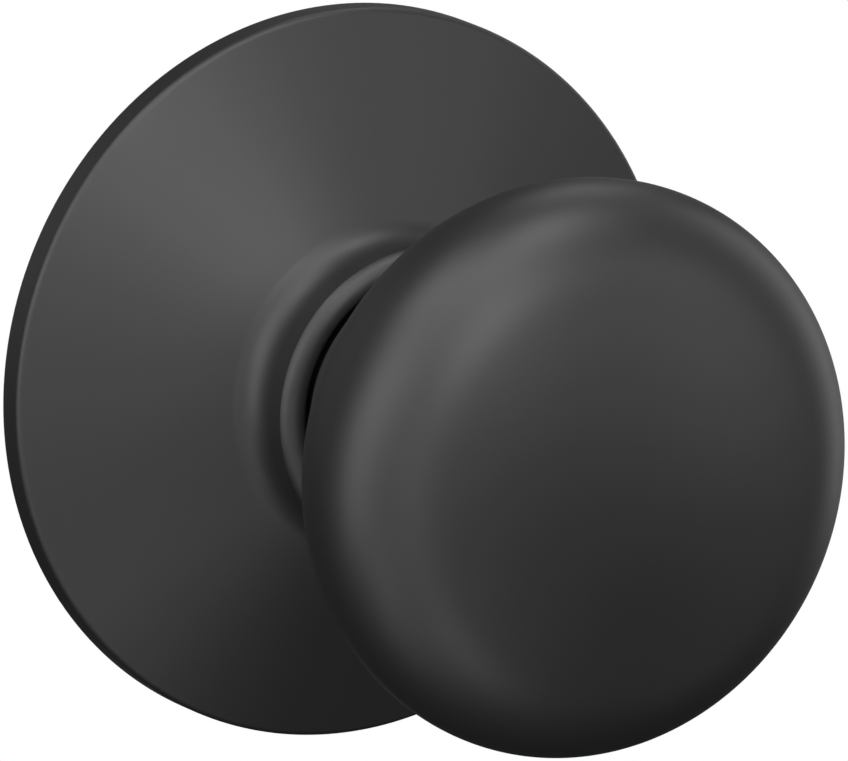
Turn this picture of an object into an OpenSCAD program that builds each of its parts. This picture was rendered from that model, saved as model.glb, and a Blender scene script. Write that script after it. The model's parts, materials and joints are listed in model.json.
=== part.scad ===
// Outside half of a cylindrical passage knob set: round rose, turning knob,
// return-spring cartridge and the square spindle that works the latch.
//
// Frame: the origin is on the turning axis in the plane of the door face, +Z is up and
// the knob points along -Y. Most sub-parts are turned about that axis, so they are drawn
// as [radius, out], where out is the distance in front of the door face.

/* [Knob] */
// Greatest radius of the knob
knob_r = 25.4; // [22:0.05:28]
// Distance of that greatest radius from the door face
knob_out = 44.85; // [42:0.05:50]
// Radius of the rounding in front of the greatest radius
edge_rad = 7.6; // [6:0.1:9]
// Radius of the shoulder between that rounding and the front dome
shoulder_rad = 12; // [10:0.1:14]
// Radius of the rounding behind the greatest radius
back_rad = 11.7; // [9:0.1:13]
// Radius of the neck where it enters the rose
neck_r = 11.4; // [10.8:0.05:11.5]
// Wall of the drawn shells
knob_wall = 1.4; // [1:0.1:1.8]

/* [Rose] */
// Outer radius of the rose
rose_r = 32.6; // [32:0.1:36]
// Height of the straight side wall
rose_side = 2.35; // [2:0.05:3]
// Rounding between the side wall and the sloping face
rose_edge_rad = 0.75; // [0.4:0.05:1.2]
// Rounding of the back edge, next to the door
rose_back_rad = 0.3; // [0.1:0.05:0.5]
// Slope of the face, in degrees
rose_slope = 22.8; // [20:0.1:24]
// Outer radius of the hub, below its lip
hub_r = 13.2; // [13:0.05:13.6]
// Hollow rounding between the sloping face and the hub
hub_fillet = 3.5; // [2:0.1:4]
// Outer radius of the lip, which stands out over the hub
lip_r = 14.05; // [13.8:0.05:14.4]
// Distance of the lip's highest ring from the door face
lip_out = 17.87; // [17:0.01:18.5]
// Rounding radius of the lip's face
lip_rad = 1.85; // [1.5:0.05:2]
// Rounding radius where the lip turns into the bore
lip_roll = 0.4; // [0.3:0.05:0.6]
// Wall of the rose
rose_wall = 1.5; // [1:0.1:1.6]

/* [Door fixing] */
// Radius of the collar that centres the set in the door's cross bore
register_r = 26.6; // [26:0.1:26.9]
// Depth of that collar
register_depth = 3; // [2:0.5:5]
// Distance between the centres of the two threaded posts
post_spacing = 38; // [37.5:0.5:40]
// Length of the posts behind the door face
post_length = 16; // [12:1:24]
// Radius of the tapped holes in the posts
post_hole_r = 1.65; // [1.4:0.05:2.1]

/* [Mechanism] */
// Side of the square spindle
spindle_side = 7.9; // [7:0.1:8]
// Reach of the spindle behind the door face
spindle_reach = 42; // [30:1:60]
// Outer radius of the drive tube
tube_r = 7.5; // [7.4:0.05:7.6]
// How far the knob turns each way, in degrees
turn_limit = 50; // [30:1:55]
// Distance of the knob catch from the door face
catch_out = 21; // [20:0.5:24]

/* [Hidden] */
$fn = 96;
eps = 0.01;         // overshoot of a cutting solid
overlong = 1;       // the same for a cutting solid with nothing near its ends
arc_step = 4;       // degrees between the points of a turned outline
edge_tilt = 50;     // where the edge rounding meets the shoulder
shoulder_tilt = 18; // where the shoulder meets the front dome
back_tilt = 120;    // where the back rounding meets the back cone

// Centres of the knob's rounding arcs, each tangent to the next.
edge_c = [knob_r - edge_rad, knob_out];
shoulder_c = edge_c + (edge_rad - shoulder_rad) * [sin(edge_tilt), cos(edge_tilt)];
dome_rad = shoulder_rad + shoulder_c[0] / sin(shoulder_tilt);
dome_c = [0, shoulder_c[1] - (dome_rad - shoulder_rad) * cos(shoulder_tilt)];
back_c = [knob_r - back_rad, knob_out];
cone_start = back_c + back_rad * [sin(back_tilt), cos(back_tilt)];
cone_slope = tan(back_tilt - 90);
seam_out = 36.8;     // joint between the two knob shells
seam_gap = 0.25;
spigot_length = 2;
spigot_wall = 0.9;
spigot_gap = 0.04;

// Rose outline.
face_start = [rose_r - rose_edge_rad, rose_side] + rose_edge_rad * [sin(rose_slope), cos(rose_slope)];
fillet_c = [hub_r + hub_fillet,
            face_start[1] + (face_start[0] - hub_r - hub_fillet) * tan(rose_slope)
            + hub_fillet / cos(rose_slope)];
lip_edge_tilt = 66;  // where the lip's face ends in its sharp outer edge
lip_c = [lip_r - lip_rad * sin(lip_edge_tilt), lip_out - lip_rad];
lip_edge_out = lip_c[1] + lip_rad * cos(lip_edge_tilt);
lip_under = 0.35;
hub_inner_r = lip_c[0] - lip_roll;

// Mounting plate, with its rim raised to clear the nibs of the rose.
plate_t = 1.4;
plate_flat_r = 27;
plate_r = 29.8;
rim_out = 0.9;
rim_shift = plate_t * tan(45 / 2); // the rim is bent up at 45 degrees
register_wall = 1.2;
nib_in = 1.8;
nib_t = 0.7;
nib_gap = 0.1;
nib_half_angle = 9;
nib_angles = [30, 150, 270];
post_collar_r = 3.3;
post_collar_t = 1.6;
post_r = 3;
post_spigot_r = 2.2;
post_head_r = 3.1;
post_head_t = 0.8;
post_thread = 12;
chamfer = 0.5;

// Neck bushing and the parts that hold the drive tube in it.
running_gap = 0.05;
end_play = 0.1;
bushing_r = 10;
bushing_flange_r = 12.2;
bushing_flange_t = 1.5;
bushing_front = 8.6;
wave_t = 0.4;
wave_rise = 0.3;
wave_count = 3;
ring_t = 1;
ring_r = 9.3;
ring_groove_r = 7;
ring_mouth = 70;
ring_out = bushing_front + 2 * wave_rise + wave_t + end_play;

// Spring housing, cover and hub. These lie behind the door face, at negative distances.
housing_r = 15.6;
housing_inner_r = 14.5;
housing_wall = 1.5;
housing_depth = 10.7;
cover_t = 1.2;
ear_r = 3;
ear_from_axis = 17.4;
ear_angles = [90, 210, 330];
screw_r = 1.25;
screw_hole_r = 1.4;
screw_head_r = 2.4;
screw_head_t = 1.5;
hub_front = -2.2;
hub_barrel_r = 9.4;
hub_flange_r = 13.8;
hub_flange_out = -9;
hub_back = -10.4;
hub_boss_r = 6.8;
hub_boss_out = -12.8;
hub_notch_r = 10.9;
socket_side = spindle_side + 0.1;
finger_in = 12.1;
finger_out = 13.6;
finger_half = 8;
finger_setback = 0.5;
finger_split = -5.55;
finger_gap = 0.3;
stop_in = 11.2;
stop_half = 9;
stop_gap = 1;

// Return spring: a torsion spring whose two legs stand either side of the fingers.
spring_wire = 0.7;
spring_r = 10.75;
spring_front = -3.1;
spring_back = -8;
spring_leg_r = 13;
spring_leg_angle = 12;
spring_turns = 3;
spring_bend = 0.9;

// Drive tube, knob shank, catch and spindle.
tube_bore_r = 6.2;
tube_back = -7;
tube_front = 33;
tube_key_r = 8.7;
tube_key_w = 2.4;
tube_key_out = 12.4;
tube_key_length = 2;
shank_bore_r = tube_r + 0.1;
shank_r = 9;
shank_back = 12;
shank_front = 34;
shank_flange_r = 12;
shank_flange_t = 1.2;
neck_back = 12.5;
catch_nose_r = 2;
catch_hole_r = catch_nose_r + running_gap;
catch_nose_tip = 8.9;
catch_tip_chamfer = 0.6;
catch_head_r = 3.2;
catch_head_in = 3.8;
catch_head_t = 1.2;
catch_spring_r = 2.2;
catch_spring_wire = 0.25;
catch_spring_turns = 7;
catch_spring_top = 5.2;
tool_hole_r = 1.3;
spindle_front = 9;
pin_r = 1.2;
pin_half = 5.9;
pin_out = -5;

// Points of an arc about c; tilt 0 points out of the door and 90 points away from the axis.
function arc(c, rad, from, to) =
    let (steps = max(1, ceil(abs(to - from) / arc_step)))
    [for (i = [0:steps])
        let (t = from + (to - from) * i / steps)
        c + rad * [sin(t), cos(t)]];

// Radius of the knob's back cone, set in by the given depth square to its surface.
function cone_r(out, inset) =
    cone_start[0] - (cone_start[1] - out) * cone_slope - inset / cos(back_tilt - 90);

// Distance from the door face at which the back cone has the given radius.
function cone_out(r, inset) =
    cone_start[1] - (cone_start[0] - r - inset / cos(back_tilt - 90)) / cone_slope;

// Knob outline from the front of the axis round to the start of the back cone.
function knob_outline(inset) = concat(
    arc(dome_c, dome_rad - inset, 0, shoulder_tilt),
    arc(shoulder_c, shoulder_rad - inset, shoulder_tilt, edge_tilt),
    arc(edge_c, edge_rad - inset, edge_tilt, 90),
    arc(back_c, back_rad - inset, 90, back_tilt));

function reversed(points) = [for (i = [len(points) - 1:-1:0]) points[i]];

// Stands a shape drawn along +Z on the turning axis, so that +Z points out of the door.
module on_axis() {
    rotate([90, 0, 0]) children();
}

module turned(points) {
    on_axis() rotate_extrude() polygon(points);
}

// Ring between two radii and two distances from the door face.
module ring(inner, outer, from, to) {
    on_axis() translate([0, 0, from]) difference() {
        cylinder(r = outer, h = to - from);
        translate([0, 0, -eps]) cylinder(r = inner, h = to - from + 2 * eps);
    }
}

module rod(radius, from, to) {
    on_axis() translate([0, 0, from]) cylinder(r = radius, h = to - from);
}

// Part of a ring, either side of the given angle; 0 is +X and 90 is +Z.
module sector(inner, outer, from, to, angle, half) {
    on_axis() translate([0, 0, from]) rotate([0, 0, angle - half])
        rotate_extrude(angle = 2 * half) translate([inner, 0]) square([outer - inner, to - from]);
}

// Square bar on the turning axis.
module square_bar(side, from, to) {
    on_axis() translate([-side / 2, -side / 2, from]) cube([side, side, to - from]);
}

function unit(v) = v / norm(v);
function wire_tangent(path, i) =
    unit(path[min(i + 1, len(path) - 1)] - path[max(i - 1, 0)]);
function squared_to(n, t) = unit(n - (n * t) * t);

// Normals carried along a path without twist.
function wire_normals(path, n, i = 0, found = []) =
    i == len(path) ? found :
    let (m = squared_to(n, wire_tangent(path, i)))
    wire_normals(path, m, i + 1, concat(found, [m]));

// Round wire along a path of points.
module wire(path, radius, first_normal, sides = 8) {
    normals = wire_normals(path, first_normal);
    rings = len(path);
    points = [for (i = [0:rings - 1])
        let (t = wire_tangent(path, i), n = normals[i], b = cross(t, n))
        for (k = [0:sides - 1])
            path[i] + radius * (cos(360 * k / sides) * n + sin(360 * k / sides) * b)];
    walls = [for (i = [0:rings - 2], k = [0:sides - 1])
        let (next = (k + 1) % sides)
        [i * sides + k, (i + 1) * sides + k, (i + 1) * sides + next, i * sides + next]];
    first_cap = [for (k = [0:sides - 1]) k];
    last_cap = [for (k = [sides - 1:-1:0]) (rings - 1) * sides + k];
    polyhedron(points, concat([first_cap, last_cap], walls));
}

// Place on the part from a radius, an angle about the turning axis and a distance out.
function placed(r, angle, out) = [r * cos(angle), -out, r * sin(angle)];

module rose() {
    inner_face = face_start - rose_wall * [sin(rose_slope), cos(rose_slope)];
    inner_wall_r = rose_r - rose_wall;
    inner_hub_out = inner_face[1] + (inner_face[0] - hub_inner_r) * tan(rose_slope);
    inner_edge_out = inner_face[1] - (inner_wall_r - inner_face[0]) * tan(rose_slope);
    color("#2b2b2d") {
        turned(concat(
            [[inner_wall_r, 0]],
            arc([rose_r - rose_back_rad, rose_back_rad], rose_back_rad, 180, 90),
            arc([rose_r - rose_edge_rad, rose_side], rose_edge_rad, 90, rose_slope),
            arc(fillet_c, -hub_fillet, rose_slope, 90),
            [[hub_r, lip_edge_out - lip_under]],
            arc(lip_c, lip_rad, lip_edge_tilt, 0),
            arc([lip_c[0], lip_out - lip_roll], lip_roll, 0, -90),
            [[hub_inner_r, inner_hub_out], [inner_wall_r, inner_edge_out]]));
        for (a = nib_angles)
            sector(inner_wall_r - nib_in, inner_wall_r + eps, rim_out - nib_gap - nib_t,
                   rim_out - nib_gap, a, nib_half_angle);
    }
}

module mounting_plate() {
    color("#b9bcc0") difference() {
        union() {
            turned([[bushing_r + running_gap, 0], [plate_flat_r, 0], [plate_flat_r + rim_out, rim_out],
                    [plate_r, rim_out], [plate_r, rim_out + plate_t],
                    [plate_flat_r + rim_out - rim_shift, rim_out + plate_t],
                    [plate_flat_r - rim_shift, plate_t], [bushing_r + running_gap, plate_t]]);
            ring(register_r - register_wall, register_r, -register_depth, eps);
        }
        for (side = [-1, 1])
            translate([side * post_spacing / 2, 0, 0]) rod(post_spigot_r, -eps, plate_t + eps);
        for (a = ear_angles)
            translate(placed(ear_from_axis, a, 0)) rod(screw_r, -eps, plate_t + eps);
    }
}

// Threaded post riveted into the plate; a bolt from the inside half screws into it.
module post(side) {
    color("#c9ccd0") translate([side * post_spacing / 2, 0, 0]) difference() {
        turned([[0, plate_t + post_head_t], [post_head_r - chamfer, plate_t + post_head_t],
                [post_head_r, plate_t + post_head_t - chamfer], [post_head_r, plate_t],
                [post_spigot_r, plate_t], [post_spigot_r, 0], [post_collar_r, 0],
                [post_collar_r, -post_collar_t], [post_r, -post_collar_t],
                [post_r, chamfer - post_length], [post_r - chamfer, -post_length],
                [0, -post_length]]);
        rod(post_hole_r, -post_length - eps, post_thread - post_length);
        turned([[0, -post_length - eps], [post_hole_r + chamfer, -post_length - eps],
                [post_hole_r - eps, chamfer - post_length], [0, chamfer - post_length]]);
    }
}

module left_post() post(-1);

module right_post() post(1);

module neck_bushing() {
    color("#e9e6da")
        turned([[tube_r + running_gap, -housing_wall], [bushing_r, -housing_wall],
                [bushing_r, plate_t], [bushing_flange_r, plate_t],
                [bushing_flange_r, plate_t + bushing_flange_t - chamfer],
                [bushing_flange_r - chamfer, plate_t + bushing_flange_t],
                [bushing_r, plate_t + bushing_flange_t], [bushing_r, bushing_front - chamfer],
                [bushing_r - chamfer, bushing_front], [tube_r + running_gap, bushing_front]]);
}

module spring_housing() {
    color("#9fa3a8") difference() {
        union() {
            rod(housing_r, -housing_depth, 0);
            for (a = ear_angles)
                translate(placed(ear_from_axis, a, 0)) rod(ear_r, -housing_depth, 0);
        }
        difference() {
            rod(housing_inner_r, -housing_depth - eps, -housing_wall);
            sector(finger_in, housing_inner_r + eps, finger_split + finger_gap / 2,
                   -housing_wall + eps, 90, finger_half);
            sector(stop_in, housing_inner_r + eps, -housing_depth - 2 * eps, hub_flange_out,
                   270, stop_half);
        }
        rod(bushing_r + running_gap, -housing_wall - eps, eps);
        for (a = ear_angles)
            translate(placed(ear_from_axis, a, 0)) rod(screw_hole_r, -housing_depth - eps, eps);
    }
}

module spring_cover() {
    back = -housing_depth - cover_t;
    bead_in = 9.2;
    bead_out = 12.8;
    bead_h = 0.4;
    boss_gap = 0.3;
    color("#b9bcc0") difference() {
        union() {
            rod(housing_r, back, -housing_depth);
            for (a = ear_angles)
                translate(placed(ear_from_axis, a, 0)) rod(ear_r, back, -housing_depth);
            turned([[bead_in, back + eps], [bead_in + bead_h, back - bead_h],
                    [bead_out - bead_h, back - bead_h], [bead_out, back + eps]]);
        }
        rod(hub_boss_r + boss_gap, back - eps, -housing_depth + eps);
        for (a = ear_angles)
            translate(placed(ear_from_axis, a, 0)) rod(screw_hole_r, back - eps, -housing_depth + eps);
    }
}

// Pan-head screw through the cover and the housing into the plate.
module cover_screw(angle) {
    seat = -housing_depth - cover_t;
    slot_w = 0.6;
    slot_length = 2.8;
    slot_depth = 0.9;
    color("#d4d6d9") translate(placed(ear_from_axis, angle, 0)) difference() {
        turned([[0, plate_t], [screw_r, plate_t], [screw_r, seat], [screw_head_r, seat],
                [screw_head_r, seat - screw_head_t + chamfer],
                [screw_head_r - chamfer, seat - screw_head_t], [0, seat - screw_head_t]]);
        on_axis() translate([0, 0, seat - screw_head_t]) for (turn = [0, 90])
            rotate([0, 0, turn + 45]) translate([-slot_length / 2, -slot_w / 2, -eps])
                cube([slot_length, slot_w, slot_depth]);
    }
}

module cover_screw_1() cover_screw(ear_angles[0]);

module cover_screw_2() cover_screw(ear_angles[1]);

module cover_screw_3() cover_screw(ear_angles[2]);

// The legs start beside the fingers, turn in to the coil and follow it round.
module return_spring() {
    leg = concat([[spring_leg_r, spring_back - spring_front]],
                 [for (a = [0:30:90])
                     [spring_leg_r - spring_bend * (1 - cos(a)), spring_bend * (sin(a) - 1)]]);
    sweep = spring_turns * 360 - 2 * spring_leg_angle;
    steps = spring_turns * 24;
    coil = [for (i = [1:steps - 1])
        placed(spring_r, 90 - spring_leg_angle - sweep * i / steps,
               spring_front + (spring_back - spring_front) * i / steps)];
    front_leg = [for (p = leg) placed(p[0], 90 - spring_leg_angle, spring_front + p[1])];
    back_leg = [for (p = leg) placed(p[0], 90 + spring_leg_angle, spring_back - p[1])];
    color("#8c9096") wire(concat(front_leg, coil, reversed(back_leg)), spring_wire, [1, 0, 0]);
}

module knob_cap() {
    rim = seam_out + seam_gap;
    color("#2b2b2d") turned(concat(
        knob_outline(0),
        [[cone_r(rim, 0), rim], [cone_r(rim, knob_wall), rim]],
        reversed(knob_outline(knob_wall))));
}

module knob_back() {
    spigot_inset = knob_wall + spigot_gap;
    spigot_end = seam_out + spigot_length;
    color("#2b2b2d") difference() {
        turned([[shank_r, neck_back], [neck_r, neck_back],
                [neck_r, cone_out(neck_r, 0)], [cone_r(seam_out, 0), seam_out],
                [cone_r(seam_out, spigot_inset), seam_out],
                [cone_r(spigot_end, spigot_inset), spigot_end],
                [cone_r(spigot_end, spigot_inset + spigot_wall), spigot_end],
                [cone_r(seam_out, spigot_inset + spigot_wall), seam_out],
                [cone_r(seam_out - spigot_wall, knob_wall), seam_out - spigot_wall],
                [shank_r, cone_out(shank_r, knob_wall)]]);
        translate([0, -catch_out, -shank_r]) rotate([180, 0, 0])
            cylinder(r = tool_hole_r, h = 2 * shank_r);
    }
}

module knob_shank() {
    color("#aeb2b6") difference() {
        union() {
            ring(shank_bore_r, shank_r, shank_back, shank_front);
            ring(shank_bore_r, shank_flange_r, shank_front - shank_flange_t, shank_front);
        }
        translate([0, -catch_out, 0]) rotate([180, 0, 0])
            cylinder(r = catch_hole_r + running_gap, h = shank_r + overlong);
        on_axis() translate([-tube_key_w / 2 - running_gap, 0, shank_back - eps])
            cube([tube_key_w + 2 * running_gap, shank_r + overlong, tube_key_length + overlong]);
    }
}

module drive_tube() {
    color("#c9ccd0") difference() {
        union() {
            rod(tube_r, tube_back, tube_front);
            on_axis() translate([-tube_key_w / 2, 0, tube_key_out])
                cube([tube_key_w, tube_key_r, tube_key_length]);
        }
        rod(tube_bore_r, tube_back - eps, tube_front + eps);
        ring(ring_groove_r, tube_r + eps, ring_out, ring_out + ring_t);
        translate([0, -catch_out, 0]) rotate([180, 0, 0])
            cylinder(r = catch_hole_r, h = tube_r + overlong);
    }
}

module drive_hub() {
    notch_half = stop_half + turn_limit + stop_gap;
    color("#9fa3a8") difference() {
        union() {
            turned([[tube_r, hub_front], [hub_barrel_r, hub_front], [hub_barrel_r, hub_flange_out],
                    [hub_flange_r, hub_flange_out], [hub_flange_r, hub_back], [hub_boss_r, hub_back],
                    [hub_boss_r, hub_boss_out], [0, hub_boss_out], [0, tube_back], [tube_r, tube_back]]);
            sector(finger_in, finger_out, hub_back + finger_setback, finger_split - finger_gap / 2,
                   90, finger_half);
        }
        sector(hub_notch_r, hub_flange_r + overlong, hub_back - overlong,
               hub_flange_out + overlong, 270, notch_half);
        square_bar(socket_side, hub_boss_out - overlong, tube_back + overlong);
    }
}

module spindle() {
    bevel = 0.8;
    color("#b9bcc0") difference() {
        on_axis() translate([0, 0, -spindle_reach])
            linear_extrude(spindle_reach + spindle_front) polygon([
                for (turn = [0:90:270], end = [-1, 1])
                    let (x = spindle_side / 2, y = end * (spindle_side / 2 - bevel))
                    [x * cos(turn) - y * sin(turn), x * sin(turn) + y * cos(turn)]]);
        translate([-spindle_side, -pin_out, 0]) rotate([0, 90, 0])
            cylinder(r = pin_r, h = 2 * spindle_side);
    }
}

module spindle_pin() {
    color("#d4d6d9") translate([-pin_half, -pin_out, 0]) rotate([0, 90, 0])
        cylinder(r = pin_r, h = 2 * pin_half);
}

module thrust_washer() {
    color("#c8a25a") ring(tube_r + running_gap, hub_barrel_r, hub_front, -housing_wall - end_play);
}

// Washer with three waves, which takes up the end play.
module wave_washer() {
    steps = 48;
    clearance = 0.15;
    setback = 0.6;
    inner = tube_r + clearance;
    outer = bushing_r - setback;
    low = bushing_front + running_gap + wave_rise;
    corners = [[inner, 0], [outer, 0], [outer, wave_t], [inner, wave_t]];
    points = [for (i = [0:steps - 1], c = corners)
        let (a = 360 * i / steps)
        placed(c[0], a, low + wave_rise * cos(wave_count * a) + c[1])];
    faces = [for (i = [0:steps - 1], k = [0:3])
        let (j = (i + 1) % steps, m = (k + 1) % 4)
        [i * 4 + k, j * 4 + k, j * 4 + m, i * 4 + m]];
    color("#8c9096") polyhedron(points, faces);
}

module retaining_ring() {
    color("#8c9096") difference() {
        ring(ring_groove_r, ring_r, ring_out, ring_out + ring_t);
        sector(ring_groove_r - overlong, ring_r + overlong, ring_out - eps, ring_out + ring_t + eps,
               0, ring_mouth / 2);
    }
}

// Plunger that keeps the knob on the drive tube; a tool through the neck presses it in.
module knob_catch() {
    color("#d4d6d9") translate([0, -catch_out, 0]) rotate([180, 0, 0]) rotate_extrude()
        polygon([[0, catch_head_in], [catch_head_r, catch_head_in],
                 [catch_head_r, catch_head_in + catch_head_t],
                 [catch_nose_r, catch_head_in + catch_head_t],
                 [catch_nose_r, catch_nose_tip - catch_tip_chamfer],
                 [catch_nose_r - catch_tip_chamfer, catch_nose_tip], [0, catch_nose_tip]]);
}

module catch_spring() {
    seat_gap = 0.02;
    low = -catch_head_in + catch_spring_wire + seat_gap;
    steps = catch_spring_turns * 14;
    path = [for (i = [0:steps])
        let (f = i / steps, a = 360 * catch_spring_turns * f)
        [catch_spring_r * cos(a), -catch_out + catch_spring_r * sin(a),
         low + (catch_spring_top - low) * f]];
    color("#8c9096") wire(path, catch_spring_wire, [1, 0, 0], 6);
}

rose();
mounting_plate();
left_post();
right_post();
neck_bushing();
spring_housing();
return_spring();
spring_cover();
cover_screw_1();
cover_screw_2();
cover_screw_3();
knob_cap();
knob_back();
knob_shank();
drive_tube();
drive_hub();
spindle();
spindle_pin();
thrust_washer();
wave_washer();
retaining_ring();
knob_catch();
catch_spring();
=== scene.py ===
import json
import math

import bmesh
import bpy
from mathutils import Matrix, Vector


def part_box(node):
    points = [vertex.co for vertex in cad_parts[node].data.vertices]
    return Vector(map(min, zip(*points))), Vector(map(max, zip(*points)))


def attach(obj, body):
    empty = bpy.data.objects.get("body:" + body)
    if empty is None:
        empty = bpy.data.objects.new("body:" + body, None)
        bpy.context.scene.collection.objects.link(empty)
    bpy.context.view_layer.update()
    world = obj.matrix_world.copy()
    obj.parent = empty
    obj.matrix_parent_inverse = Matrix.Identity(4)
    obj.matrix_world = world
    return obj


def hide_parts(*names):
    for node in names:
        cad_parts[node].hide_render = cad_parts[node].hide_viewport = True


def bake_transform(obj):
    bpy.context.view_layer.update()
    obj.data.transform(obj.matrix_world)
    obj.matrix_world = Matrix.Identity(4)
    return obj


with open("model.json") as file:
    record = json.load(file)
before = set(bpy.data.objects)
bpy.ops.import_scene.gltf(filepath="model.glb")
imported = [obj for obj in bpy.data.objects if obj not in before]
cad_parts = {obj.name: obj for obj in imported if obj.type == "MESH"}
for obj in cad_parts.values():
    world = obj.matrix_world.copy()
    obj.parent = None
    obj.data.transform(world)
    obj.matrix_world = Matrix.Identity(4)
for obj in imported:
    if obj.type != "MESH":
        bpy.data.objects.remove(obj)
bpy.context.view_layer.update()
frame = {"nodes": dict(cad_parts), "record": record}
scene = bpy.context.scene
MM = 0.001


# ---------------------------------------------------------------- camera

VIEW_AZIMUTH = math.radians(-28.5)
VIEW_ELEVATION = math.radians(12.92)
VIEW_DISTANCE = 2.0
VIEW_WIDTH = 74.57 * MM          # width of the picture at the turning axis
AIM_RIGHT = 8.18 * MM            # from the middle of the rose to the middle of the picture
AIM_UP = -1.22 * MM
SENSOR = 36.0
CLIP_NEAR = 0.1
CLIP_FAR = 20


def direction(azimuth, elevation):
    """Unit vector from the object towards a camera or light; azimuth 0 is in front, along -Y."""
    return Vector((math.sin(azimuth) * math.cos(elevation),
                   -math.cos(azimuth) * math.cos(elevation),
                   math.sin(elevation)))


def make_camera():
    back = direction(VIEW_AZIMUTH, VIEW_ELEVATION)
    right = Vector((math.cos(VIEW_AZIMUTH), math.sin(VIEW_AZIMUTH), 0))
    up = back.cross(right)
    data = bpy.data.cameras.new("camera")
    data.sensor_width = SENSOR
    data.lens = SENSOR * VIEW_DISTANCE / VIEW_WIDTH
    data.clip_start = CLIP_NEAR
    data.clip_end = CLIP_FAR
    camera = bpy.data.objects.new("camera", data)
    scene.collection.objects.link(camera)
    camera.location = right * AIM_RIGHT + up * AIM_UP + back * VIEW_DISTANCE
    camera.rotation_mode = "QUATERNION"
    camera.rotation_quaternion = (-back).to_track_quat("-Z", "Y")
    scene.camera = camera


make_camera()


# ---------------------------------------------------------------- outlines and meshes

ARC_STEP = math.radians(2)
LATHE_SEGMENTS = 256
WIRE_SIDES = 16
SHARP_ANGLE = math.radians(35)   # edges sharper than this are not shaded smooth
MERGE = 1e-6                     # points closer than this are one point


def arc(centre, radius, start, end):
    """Points (radius, out) round centre. Tilt 0 points out of the door, 90 away from the axis."""
    count = max(2, math.ceil(abs(math.radians(end - start)) / ARC_STEP))
    points = []
    for i in range(count + 1):
        tilt = math.radians(start + (end - start) * i / count)
        points.append((centre[0] + radius * math.sin(tilt), centre[1] + radius * math.cos(tilt)))
    return points


def offset(point, distance, tilt):
    """The point moved along a tilt."""
    angle = math.radians(tilt)
    return (point[0] + distance * math.sin(angle), point[1] + distance * math.cos(angle))


def spaced(points, step):
    """The same line as evenly spaced points."""
    lengths = [0.0]
    for a, b in zip(points, points[1:]):
        lengths.append(lengths[-1] + math.dist(a, b))
    count = max(2, round(lengths[-1] / step))
    result = []
    k = 0
    for i in range(count + 1):
        target = lengths[-1] * i / count
        while k < len(points) - 2 and lengths[k + 1] < target:
            k += 1
        share = (target - lengths[k]) / (lengths[k + 1] - lengths[k])
        a, b = points[k], points[k + 1]
        result.append((a[0] + (b[0] - a[0]) * share, a[1] + (b[1] - a[1]) * share))
    return result


def eased(points, reach):
    """Points averaged with their neighbours, so that arcs of different radius run into each other."""
    result = []
    last = len(points) - 1
    for i in range(last + 1):
        span = min(reach, i, last - i)
        near = points[i - span:i + span + 1]
        weights = [span + 1 - abs(k - span) for k in range(len(near))]
        total = sum(weights)
        result.append((sum(p[0] * w for p, w in zip(near, weights)) / total,
                       sum(p[1] * w for p, w in zip(near, weights)) / total))
    return result


def new_object(name, mesh_maker):
    """Object made from a bmesh that mesh_maker fills in."""
    mesh = bpy.data.meshes.new(name)
    bm = bmesh.new()
    mesh_maker(bm)
    bmesh.ops.remove_doubles(bm, verts=bm.verts, dist=MERGE)
    bmesh.ops.recalc_face_normals(bm, faces=bm.faces)
    for face in bm.faces:
        face.smooth = True
    for edge in bm.edges:
        if len(edge.link_faces) == 2 and edge.calc_face_angle(0) > SHARP_ANGLE:
            edge.smooth = False
    bm.to_mesh(mesh)
    bm.free()
    obj = bpy.data.objects.new(name, mesh)
    scene.collection.objects.link(obj)
    return obj


def applied(obj):
    """Puts the result of the object's modifiers into its mesh."""
    bpy.context.view_layer.update()
    mesh = bpy.data.meshes.new_from_object(obj.evaluated_get(bpy.context.evaluated_depsgraph_get()))
    obj.modifiers.clear()
    obj.data = mesh


def add_lathe(bm, outline, closed=True):
    """Turns a line of (radius, out) points about the knob's axis."""
    rings = []
    for r, out in outline:
        if r < MERGE:
            rings.append([bm.verts.new((0, -out, 0))])
            continue
        ring = []
        for k in range(LATHE_SEGMENTS):
            angle = 2 * math.pi * k / LATHE_SEGMENTS
            ring.append(bm.verts.new((r * math.cos(angle), -out, r * math.sin(angle))))
        rings.append(ring)
    pairs = list(zip(rings, rings[1:]))
    if closed:
        pairs.append((rings[-1], rings[0]))
    for a, b in pairs:
        if len(a) == 1 and len(b) == 1:
            continue
        for k in range(LATHE_SEGMENTS):
            j = (k + 1) % LATHE_SEGMENTS
            if len(a) == 1:
                bm.faces.new((a[0], b[k], b[j]))
            elif len(b) == 1:
                bm.faces.new((a[k], b[0], a[j]))
            else:
                bm.faces.new((a[k], b[k], b[j], a[j]))


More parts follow.
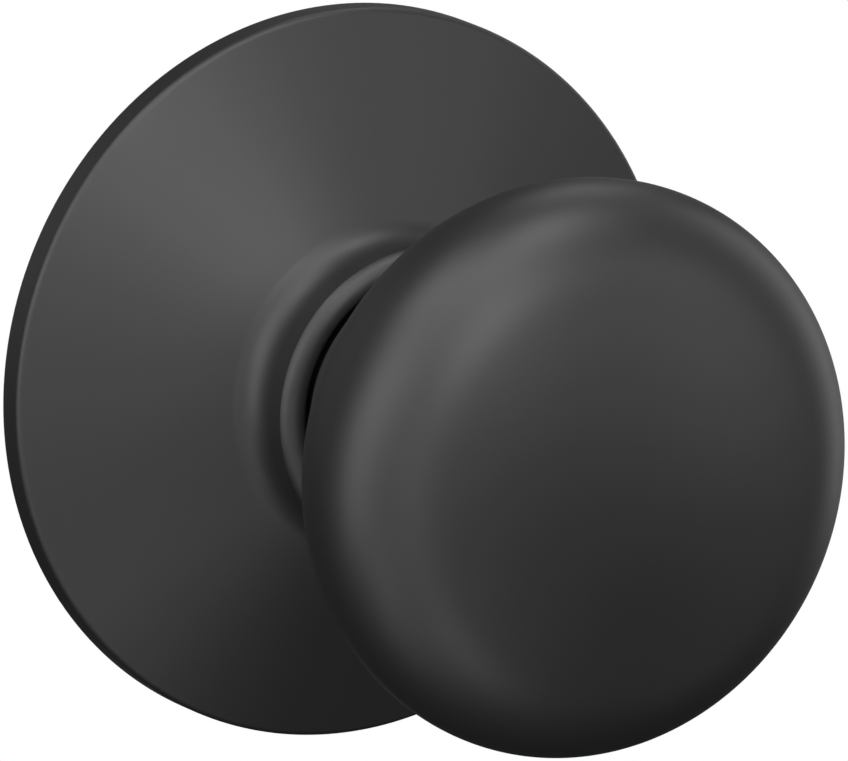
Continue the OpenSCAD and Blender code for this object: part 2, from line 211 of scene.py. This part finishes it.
def add_wire(bm, path, radius):
    """Round wire along a path, with rounded ends."""
    last = len(path) - 1
    ahead = [(path[min(i + 1, last)] - path[max(i - 1, 0)]).normalized() for i in range(last + 1)]
    end_tilts = [math.radians(t) for t in (80, 50, 25)]
    stations = [(path[0] + ahead[0] * radius * (1 - math.sin(t)), ahead[0], radius * math.cos(t))
                for t in end_tilts]
    stations += [(path[i], ahead[i], radius) for i in range(1, last)]
    stations += [(path[-1] - ahead[-1] * radius * (1 - math.sin(t)), ahead[-1], radius * math.cos(t))
                 for t in reversed(end_tilts)]
    normal = ahead[0].orthogonal()
    rings = []
    for point, tangent, r in stations:
        normal = (normal - tangent * normal.dot(tangent)).normalized()
        side = tangent.cross(normal)
        rings.append([bm.verts.new(point + r * (math.cos(2 * math.pi * k / WIRE_SIDES) * normal
                                                + math.sin(2 * math.pi * k / WIRE_SIDES) * side))
                      for k in range(WIRE_SIDES)])
    for a, b in zip(rings, rings[1:]):
        for k in range(WIRE_SIDES):
            j = (k + 1) % WIRE_SIDES
            bm.faces.new((a[k], a[j], b[j], b[k]))
    bm.faces.new(rings[0][::-1])
    bm.faces.new(rings[-1])


# ---------------------------------------------------------------- materials

RELIEF = 0.02 * MM               # height of the grain at full strength


def node_material(name):
    """New material and its shader."""
    material = bpy.data.materials.new(name)
    material.use_nodes = True
    return material, material.node_tree.nodes["Principled BSDF"]


def textured(name, dark, light, rough, grain, metallic=0.0, stretch=(1, 1, 1), bump=0.1, drift=60):
    """Finish with a fine grain in colour and relief, and a slow drift in gloss."""
    material, shader = node_material(name)
    nodes = material.node_tree.nodes
    links = material.node_tree.links
    place = nodes.new("ShaderNodeTexCoord")
    stretched = nodes.new("ShaderNodeMapping")
    stretched.inputs["Scale"].default_value = stretch
    links.new(place.outputs["Object"], stretched.inputs["Vector"])
    fine = nodes.new("ShaderNodeTexNoise")
    fine.inputs["Scale"].default_value = grain
    fine.inputs["Detail"].default_value = 3
    links.new(stretched.outputs["Vector"], fine.inputs["Vector"])
    slow = nodes.new("ShaderNodeTexNoise")
    slow.inputs["Scale"].default_value = drift
    slow.inputs["Detail"].default_value = 4
    links.new(place.outputs["Object"], slow.inputs["Vector"])
    colour = nodes.new("ShaderNodeValToRGB")
    colour.color_ramp.elements[0].color = (*dark, 1)
    colour.color_ramp.elements[1].color = (*light, 1)
    links.new(fine.outputs["Fac"], colour.inputs["Fac"])
    links.new(colour.outputs["Color"], shader.inputs["Base Color"])
    gloss = nodes.new("ShaderNodeMapRange")
    gloss.inputs["To Min"].default_value = rough[0]
    gloss.inputs["To Max"].default_value = rough[1]
    links.new(slow.outputs["Fac"], gloss.inputs["Value"])
    links.new(gloss.outputs["Result"], shader.inputs["Roughness"])
    relief = nodes.new("ShaderNodeBump")
    relief.inputs["Strength"].default_value = bump
    relief.inputs["Distance"].default_value = RELIEF
    links.new(fine.outputs["Fac"], relief.inputs["Height"])
    links.new(relief.outputs["Normal"], shader.inputs["Normal"])
    shader.inputs["Metallic"].default_value = metallic
    return material


# Satin black paint: an even, very fine grain with a faint drift in gloss.
BLACK = textured("black_paint", (0.0045, 0.0045, 0.0048), (0.0075, 0.0075, 0.0078), (0.46, 0.52), 4200,
                 bump=0.05)
# Zinc plate: rolling lines along X under a slightly cloudy plating.
PLATED = textured("plated_steel", (0.46, 0.48, 0.50), (0.66, 0.67, 0.66), (0.26, 0.46), 1500,
                  metallic=1, stretch=(0.06, 1, 1), drift=140)
# The same plating on a drawn bar: lines along Y on darker steel.
DRAWN = textured("drawn_steel", (0.26, 0.27, 0.29), (0.44, 0.45, 0.46), (0.30, 0.48), 1800,
                 metallic=1, stretch=(1, 0.05, 1), bump=0.15, drift=120)
# Bright turned steel: tool marks that run round the turning axis.
TURNED = textured("turned_steel", (0.50, 0.50, 0.51), (0.70, 0.70, 0.70), (0.20, 0.36), 3500,
                  metallic=1, stretch=(0.02, 1, 0.02), bump=0.2, drift=200)
# Die casting: a coarse, dull grain.
CAST = textured("zinc_casting", (0.34, 0.35, 0.37), (0.50, 0.51, 0.53), (0.40, 0.62), 900,
                metallic=1, bump=0.5, drift=90)
# Oil-tempered spring wire and strip.
SPRING = textured("spring_steel", (0.20, 0.205, 0.22), (0.34, 0.345, 0.36), (0.22, 0.40), 2500,
                  metallic=1, drift=300)
# Rolled brass.
BRASS = textured("brass", (0.58, 0.40, 0.17), (0.78, 0.60, 0.31), (0.22, 0.42), 2000,
                 metallic=1, drift=260)
# Natural nylon, which lets a little light in.
NYLON = textured("nylon", (0.72, 0.70, 0.61), (0.82, 0.80, 0.72), (0.36, 0.52), 1400, bump=0.15)
nylon_shader = NYLON.node_tree.nodes["Principled BSDF"]
nylon_shader.inputs["Subsurface Weight"].default_value = 0.25
nylon_shader.inputs["Subsurface Scale"].default_value = 1 * MM
FINISHES = {"black_paint": BLACK, "plated_steel": PLATED, "turned_steel": TURNED, "zinc_casting": CAST,
            "spring_steel": SPRING, "brass": BRASS, "nylon": NYLON}
# Pieces whose finish differs from the rest of their slot.
OWN_FINISHES = {"spindle": DRAWN}


# ---------------------------------------------------------------- rose

# Radii are from the turning axis, and "out" is the distance from the door face.
ROSE_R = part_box("rose")[1].x
ROSE_SIDE = 2.35 * MM
ROSE_EDGE = 0.75 * MM
ROSE_SLOPE = 22.8
ROSE_WALL = 1.5 * MM
HUB_R = 13.2 * MM
HUB_FILLET = 3.5 * MM
LIP_R = 14.05 * MM
LIP_OUT = -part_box("rose")[0].y
LIP_RAD = 1.85 * MM
LIP_ROLL = 0.4 * MM
LIP_TILT = 66
LIP_EDGE = 0.08 * MM
LIP_EDGE_TILT = 150
LIP_UNDER = 0.35 * MM
BACK_EDGE = 0.3 * MM
NIB_ANGLES = (30, 150, 270)
NIB_HALF_ANGLE = 9
NIB_DEPTH = 1.8 * MM
NIB_SINK = 0.05 * MM
NIB_NEAR = 0.1 * MM
NIB_FAR = 0.8 * MM


def rose_outline():
    """Section of the rose, from its back edge over the face and the lip to its inside."""
    slope = math.radians(ROSE_SLOPE)
    edge_centre = (ROSE_R - ROSE_EDGE, ROSE_SIDE)
    face_start = offset(edge_centre, ROSE_EDGE, ROSE_SLOPE)
    fillet_r = HUB_R + HUB_FILLET
    fillet_out = face_start[1] + (face_start[0] - fillet_r) * math.tan(slope) + HUB_FILLET / math.cos(slope)
    inner_face = offset(face_start, -ROSE_WALL, ROSE_SLOPE)
    inner_wall = ROSE_R - ROSE_WALL
    lip_centre = (LIP_R - LIP_RAD * math.sin(math.radians(LIP_TILT)), LIP_OUT - LIP_RAD)
    lip_corner = offset(lip_centre, LIP_RAD - LIP_EDGE, LIP_TILT)
    inner_hub = lip_centre[0] - LIP_ROLL
    return (arc((ROSE_R - BACK_EDGE, BACK_EDGE), BACK_EDGE, 180, 90)
            + arc(edge_centre, ROSE_EDGE, 90, ROSE_SLOPE)
            + arc((fillet_r, fillet_out), -HUB_FILLET, ROSE_SLOPE, 90)
            + [(HUB_R, lip_corner[1] - LIP_UNDER)]
            + arc(lip_corner, LIP_EDGE, LIP_EDGE_TILT, LIP_TILT)
            + arc(lip_centre, LIP_RAD, LIP_TILT, 0)
            + arc((lip_centre[0], LIP_OUT - LIP_ROLL), LIP_ROLL, 0, -90)
            + [(inner_hub, inner_face[1] + (inner_face[0] - inner_hub) * math.tan(slope)),
               (inner_wall, inner_face[1] - (inner_wall - inner_face[0]) * math.tan(slope)),
               (inner_wall, 0)])


def add_ring_piece(bm, inner, outer, near, far, angle, half):
    """Solid piece of a ring either side of an angle, for the nibs."""
    steps = 8
    columns = []
    for i in range(steps + 1):
        a = math.radians(angle - half + 2 * half * i / steps)
        columns.append([bm.verts.new((r * math.cos(a), -out, r * math.sin(a)))
                        for r, out in ((inner, near), (outer, near), (outer, far), (inner, far))])
    for a, b in zip(columns, columns[1:]):
        for k in range(4):
            bm.faces.new((a[k], a[(k + 1) % 4], b[(k + 1) % 4], b[k]))
    bm.faces.new(columns[0])
    bm.faces.new(columns[-1][::-1])


def make_rose():
    def fill(bm):
        add_lathe(bm, rose_outline())
        inner_wall = ROSE_R - ROSE_WALL
        for angle in NIB_ANGLES:
            add_ring_piece(bm, inner_wall - NIB_DEPTH, inner_wall + NIB_SINK, NIB_NEAR, NIB_FAR,
                           angle, NIB_HALF_ANGLE)
    rose = new_object("rose_cover", fill)
    rose.data.materials.append(BLACK)
    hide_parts("rose")
    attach(rose, "rose_assembly")


make_rose()


# ---------------------------------------------------------------- knob shells

KNOB_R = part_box("knob_cap")[1].x
KNOB_OUT = 44.85 * MM
EDGE_RAD = 7.6 * MM
SHOULDER_RAD = 12 * MM
BACK_RAD = 11.7 * MM
EDGE_TILT = 50
SHOULDER_TILT = 18
BACK_TILT = 120
NECK_R = 11.4 * MM
KNOB_WALL = 1.4 * MM
SEAM_OUT = 36.8 * MM
SEAM_GAP = 0.25 * MM
SEAM_ROUND = 0.15 * MM
SEAM_SWEEP = 60
CATCH_OUT = 21 * MM


def knob_front(inset):
    """Outline of the front shell from the axis to the start of the back cone, set in by inset."""
    edge_centre = (KNOB_R - EDGE_RAD, KNOB_OUT)
    shoulder_centre = offset(edge_centre, EDGE_RAD - SHOULDER_RAD, EDGE_TILT)
    dome_rad = SHOULDER_RAD + shoulder_centre[0] / math.sin(math.radians(SHOULDER_TILT))
    dome_centre = (0, offset(shoulder_centre, SHOULDER_RAD - dome_rad, SHOULDER_TILT)[1])
    back_centre = (KNOB_R - BACK_RAD, KNOB_OUT)
    return (arc(dome_centre, dome_rad - inset, 0, SHOULDER_TILT)
            + arc(shoulder_centre, SHOULDER_RAD - inset, SHOULDER_TILT, EDGE_TILT)[1:]
            + arc(edge_centre, EDGE_RAD - inset, EDGE_TILT, 90)[1:]
            + arc(back_centre, BACK_RAD - inset, 90, BACK_TILT)[1:])


def cone_point(out, inset):
    """Point of the back cone at a distance from the door face."""
    start = knob_front(0)[-1]
    slope = math.tan(math.radians(BACK_TILT - 90))
    return (start[0] - (start[1] - out) * slope - inset / math.cos(math.radians(BACK_TILT - 90)), out)


def cone_out(r, inset):
    """Distance from the door face at which the back cone has a radius."""
    near = cone_point(0, inset)
    return (r - near[0]) / math.tan(math.radians(BACK_TILT - 90))


def smooth_front(inset):
    """The front outline with its arcs eased into each other, up to the seam."""
    step = 0.35 * MM
    reach = 6
    rim = SEAM_OUT + SEAM_GAP
    front = knob_front(inset) + [cone_point(rim, inset)]
    mirrored = [(-r, out) for r, out in reversed(front[1:])]
    points = eased(spaced(mirrored + front, step), reach)
    half = [p for p in points if p[0] > step / 2]
    top = max(p[1] for p in points)
    widen = (KNOB_R - inset) / max(p[0] for p in points)
    return [(0, top)] + [(r * widen, out) for r, out in half]


def make_knob_cap():
    outer = smooth_front(0)
    inner = smooth_front(KNOB_WALL)

    def fill(bm):
        rim_round = arc(offset(outer[-1], -SEAM_ROUND, BACK_TILT), SEAM_ROUND,
                        BACK_TILT, BACK_TILT + SEAM_SWEEP)
        add_lathe(bm, outer + rim_round[1:] + inner[::-1], closed=False)
    cap = new_object("knob_front_shell", fill)
    cap.data.materials.append(BLACK)
    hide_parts("knob_cap")
    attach(cap, "knob")


def make_knob_back():
    shank_r = 9 * MM
    neck_back = 12.5 * MM
    tool_hole_r = 1.3 * MM
    tool_hole_sides = 48
    cutter_length = 10 * MM
    cutter_z = -12 * MM
    cone_step = 1 * MM
    lip_end_tilt = 20
    spigot_in = KNOB_WALL + 0.04 * MM
    spigot_wall = 0.9 * MM
    spigot_end = SEAM_OUT + 2 * MM
    edge = 0.3 * MM

    def fill(bm):
        shoulder = cone_point(SEAM_OUT, 0)
        lip = arc(offset(shoulder, -SEAM_ROUND, BACK_TILT), SEAM_ROUND, BACK_TILT, lip_end_tilt)
        neck_edge = arc((NECK_R - edge, neck_back + edge), edge, 180, 90)
        cone = spaced([(NECK_R, cone_out(NECK_R, 0)), cone_point(SEAM_OUT - SEAM_ROUND, 0)], cone_step)
        outline = ([(shank_r, neck_back)] + neck_edge + cone + lip
                   + [cone_point(SEAM_OUT, spigot_in), cone_point(spigot_end, spigot_in),
                      cone_point(spigot_end, spigot_in + spigot_wall),
                      cone_point(SEAM_OUT, spigot_in + spigot_wall),
                      cone_point(SEAM_OUT - spigot_wall, KNOB_WALL),
                      (shank_r, cone_out(shank_r, KNOB_WALL))])
        add_lathe(bm, outline)
    back = new_object("knob_back_shell", fill)

    def fill_cutter(bm):
        bmesh.ops.create_cone(bm, cap_ends=True, segments=tool_hole_sides,
                              radius1=tool_hole_r, radius2=tool_hole_r, depth=cutter_length,
                              matrix=Matrix.Translation((0, -CATCH_OUT, cutter_z)))
    cutter = new_object("cutter", fill_cutter)
    hole = back.modifiers.new("hole", "BOOLEAN")
    hole.operation = "DIFFERENCE"
    hole.object = cutter
    hole.solver = "EXACT"
    applied(back)
    bpy.data.objects.remove(cutter)
    back.data.materials.clear()
    back.data.materials.append(BLACK)
    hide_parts("knob_back")
    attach(back, "knob")


make_knob_cap()
make_knob_back()


# ---------------------------------------------------------------- mechanism

SLOTS = {part["node"]: part["material_slot"] for part in frame["record"]["subparts"]}
# Width of the softened edges of each piece that shows behind the rose.
EDGES = {"mounting_plate": 0.2 * MM, "left_post": 0.12 * MM, "right_post": 0.12 * MM,
         "spring_housing": 0.3 * MM, "spring_cover": 0.2 * MM, "cover_screw_1": 0.12 * MM,
         "cover_screw_2": 0.12 * MM, "cover_screw_3": 0.12 * MM, "drive_hub": 0.25 * MM,
         "spindle": 0.25 * MM}
EDGE_SEGMENTS = 3
EDGE_ANGLE = math.radians(30)    # edges sharper than this are softened
FLAT_ANGLE = math.radians(0.5)   # faces that meet flatter than this become one
POST_X = 19 * MM


def body_with(node):
    """Name of the body that a CAD node belongs to."""
    return next(name for name, nodes in frame["record"]["behaviour"]["bodies"].items() if node in nodes)


def stand_in(piece, node):
    """Shows the piece in place of a CAD node, in that node's finish."""
    piece.data.materials.clear()
    piece.data.materials.append(OWN_FINISHES.get(node, FINISHES[SLOTS[node]]))
    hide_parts(node)


def soften(node, width):
    """Piece with the shape of a CAD node and rounded edges."""
    source = frame["nodes"][node].data

    def fill(bm):
        bm.from_mesh(source)
        bmesh.ops.remove_doubles(bm, verts=bm.verts, dist=MERGE)
        bmesh.ops.dissolve_limit(bm, angle_limit=FLAT_ANGLE, verts=bm.verts, edges=bm.edges)
    piece = new_object(node + "_softened", fill)
    bevel = piece.modifiers.new("edges", "BEVEL")
    bevel.width = width
    bevel.segments = EDGE_SEGMENTS
    bevel.limit_method = "ANGLE"
    bevel.angle_limit = EDGE_ANGLE
    bevel.harden_normals = True
    applied(piece)
    stand_in(piece, node)
    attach(piece, body_with(node))


def finish_nodes():
    """Gives each CAD node the finish of its slot, which shows on those that nothing replaces."""
    for node, obj in frame["nodes"].items():
        if node in SLOTS:
            obj.data.materials.clear()
            obj.data.materials.append(FINISHES[SLOTS[node]])


def around(r, angle, out):
    """Point from a radius, an angle about the knob's axis in degrees and a distance out."""
    a = math.radians(angle)
    return Vector((r * math.cos(a), -out, r * math.sin(a)))


def make_return_spring():
    """Torsion spring: two bent legs either side of straight up, and a close coil between them."""
    wire_r = 0.7 * MM
    coil_r = 10.75 * MM
    leg_r = 13 * MM
    front = -3.1 * MM
    back = -8 * MM
    bend = 0.9 * MM
    bend_step = 15
    upright = 90
    leg_angle = 12
    turns = 3
    per_turn = 60
    steps = turns * per_turn
    leg = [(leg_r, back - front)]
    for a in range(0, 90 + bend_step, bend_step):
        t = math.radians(a)
        leg.append((leg_r - bend * (1 - math.cos(t)), bend * (math.sin(t) - 1)))
    sweep = turns * 360 - 2 * leg_angle
    path = [around(r, upright - leg_angle, front + out) for r, out in leg]
    path += [around(coil_r, upright - leg_angle - sweep * i / steps, front + (back - front) * i / steps)
             for i in range(2, steps - 1)]
    path += [around(r, upright + leg_angle, back - out) for r, out in reversed(leg)]
    spring = new_object("return_spring_wire", lambda bm: add_wire(bm, path, wire_r))
    stand_in(spring, "return_spring")
    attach(spring, body_with("return_spring"))


def make_catch_spring():
    """Compression spring behind the plunger, whose foot moves with the plunger; drawn as one fixed coil
    that does not shorten.
    """
    wire_r = 0.25 * MM
    coil_r = 2.2 * MM
    low = -3.53 * MM
    high = 5.2 * MM
    turns = 7
    per_turn = 36
    steps = turns * per_turn
    path = []
    for i in range(steps + 1):
        share = i / steps
        a = 2 * math.pi * turns * share
        path.append(Vector((coil_r * math.cos(a), -CATCH_OUT + coil_r * math.sin(a),
                            low + (high - low) * share)))
    spring = new_object("catch_spring_wire", lambda bm: add_wire(bm, path, wire_r))
    stand_in(spring, "catch_spring")
    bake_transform(spring)


def make_post_thread(side):
    """Screw thread in the tapped hole of the left (-1) or right (1) post."""
    hole_r = 1.65 * MM
    sunk_r = hole_r + 0.05 * MM
    crest_r = hole_r - 0.3 * MM
    pitch = 0.8 * MM
    root_half = 0.38 * pitch
    crest_half = 0.06 * pitch
    first = -15.4 * MM
    last = -6 * MM
    per_turn = 32
    steps = round((last - first) / pitch * per_turn)
    profile = ((sunk_r, -root_half), (crest_r, -crest_half), (crest_r, crest_half), (sunk_r, root_half))

    def fill(bm):
        rings = []
        for i in range(steps + 1):
            a = 2 * math.pi * i / per_turn
            out = first + (last - first) * i / steps
            rings.append([bm.verts.new((side * POST_X + r * math.cos(a), -(out + rise), r * math.sin(a)))
                          for r, rise in profile])
        for a, b in zip(rings, rings[1:]):
            for k in range(4):
                bm.faces.new((a[k], a[(k + 1) % 4], b[(k + 1) % 4], b[k]))
        bm.faces.new(rings[0])
        bm.faces.new(rings[-1][::-1])
    thread = new_object("post_thread_left" if side < 0 else "post_thread_right", fill)
    thread.data.materials.append(TURNED)
    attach(thread, "rose_assembly")


finish_nodes()
for node, width in EDGES.items():
    soften(node, width)
make_return_spring()
make_catch_spring()
make_post_thread(-1)
make_post_thread(1)


# ---------------------------------------------------------------- stage and light

FLOOR_Z = -5                     # low enough that the knob can be seen from below
FLOOR_RADIUS = 12
FLOOR_SIDES = 64
FLOOR_COLOUR = (0.95, 0.95, 0.95)
FLOOR_ROUGHNESS = 0.9
WORLD_GLOW = 0.03                # what the object sees of the white room; the camera sees it all


def make_floor():
    """Pale floor that glows evenly and neither lights nor shades the object."""
    def fill(bm):
        bmesh.ops.create_circle(bm, cap_ends=True, segments=FLOOR_SIDES, radius=FLOOR_RADIUS)
        bmesh.ops.translate(bm, verts=bm.verts, vec=(0, 0, FLOOR_Z))
    floor = new_object("floor", fill)
    material, shader = node_material("floor")
    shader.inputs["Base Color"].default_value = (*FLOOR_COLOUR, 1)
    shader.inputs["Roughness"].default_value = FLOOR_ROUGHNESS
    shader.inputs["Emission Color"].default_value = (1, 1, 1, 1)
    shader.inputs["Emission Strength"].default_value = 1.0
    floor.data.materials.append(material)
    floor.visible_glossy = False
    floor.visible_diffuse = False
    floor.visible_shadow = False


LIGHT_DISTANCE = 1.5
LIGHT_MIDDLE = Vector((0, -30 * MM, 0))
# Each softbox: azimuth and elevation in degrees, width and height in metres, power in watts.
SOFTBOXES = {
    "key": (-8, 30, 0.5, 0.8, 13.5),
    "key_high": (-30, 62, 0.8, 0.5, 7.8),
    "key_left": (-60, 28, 0.6, 0.9, 6.1),
    "left": (-82, 8, 0.8, 1.7, 15),
    "left_high": (-95, 60, 0.6, 0.6, 7.4),
    "top": (45, 75, 0.1, 0.4, 6.9),
    "right_strip": (45, 15, 0.4, 1.2, 6.1),
    "right": (105, 10, 0.4, 1.7, 5.9),
    "right_low": (60, -22, 0.35, 1.7, 1.4),
    "back_top": (142, 45, 0.55, 0.4, 2.5),
    "front_low": (-30, -8, 0.4, 0.8, 4),
    "low_front": (-15, -45, 0.3, 0.4, 3.2),
    "low_left": (-60, -38, 0.3, 0.8, 3.3),
    "back": (180, 0, 0.35, 0.35, 1.2),
    "back_right": (150, -10, 1.2, 0.8, 1.2),
    "back_left": (205, 15, 1.0, 1.0, 0.8)}


def softbox(name, azimuth, elevation, width, height, power):
    """Large soft light that faces the object from a direction given in degrees."""
    data = bpy.data.lights.new(name, "AREA")
    data.shape = "RECTANGLE"
    data.size = width
    data.size_y = height
    data.energy = power
    light = bpy.data.objects.new(name, data)
    scene.collection.objects.link(light)
    away = direction(math.radians(azimuth), math.radians(elevation))
    light.location = LIGHT_MIDDLE + away * LIGHT_DISTANCE
    light.rotation_mode = "QUATERNION"
    light.rotation_quaternion = (-away).to_track_quat("-Z", "Y")


def make_world():
    """White room that shows white to the camera and only glows faintly on the object."""
    world = bpy.data.worlds.new("studio")
    world.use_nodes = True
    scene.world = world
    nodes = world.node_tree.nodes
    links = world.node_tree.links
    dim = nodes["Background"]
    dim.inputs["Color"].default_value = (1, 1, 1, 1)
    dim.inputs["Strength"].default_value = WORLD_GLOW
    pale = nodes.new("ShaderNodeBackground")
    pale.inputs["Color"].default_value = (1, 1, 1, 1)
    pale.inputs["Strength"].default_value = 1.0
    path = nodes.new("ShaderNodeLightPath")
    mix = nodes.new("ShaderNodeMixShader")
    links.new(path.outputs["Is Camera Ray"], mix.inputs["Fac"])
    links.new(dim.outputs["Background"], mix.inputs[1])
    links.new(pale.outputs["Background"], mix.inputs[2])
    links.new(mix.outputs["Shader"], nodes["World Output"].inputs["Surface"])


scene.view_settings.view_transform = "Standard"
make_floor()
make_world()
for name, facts in SOFTBOXES.items():
    softbox(name, *facts)
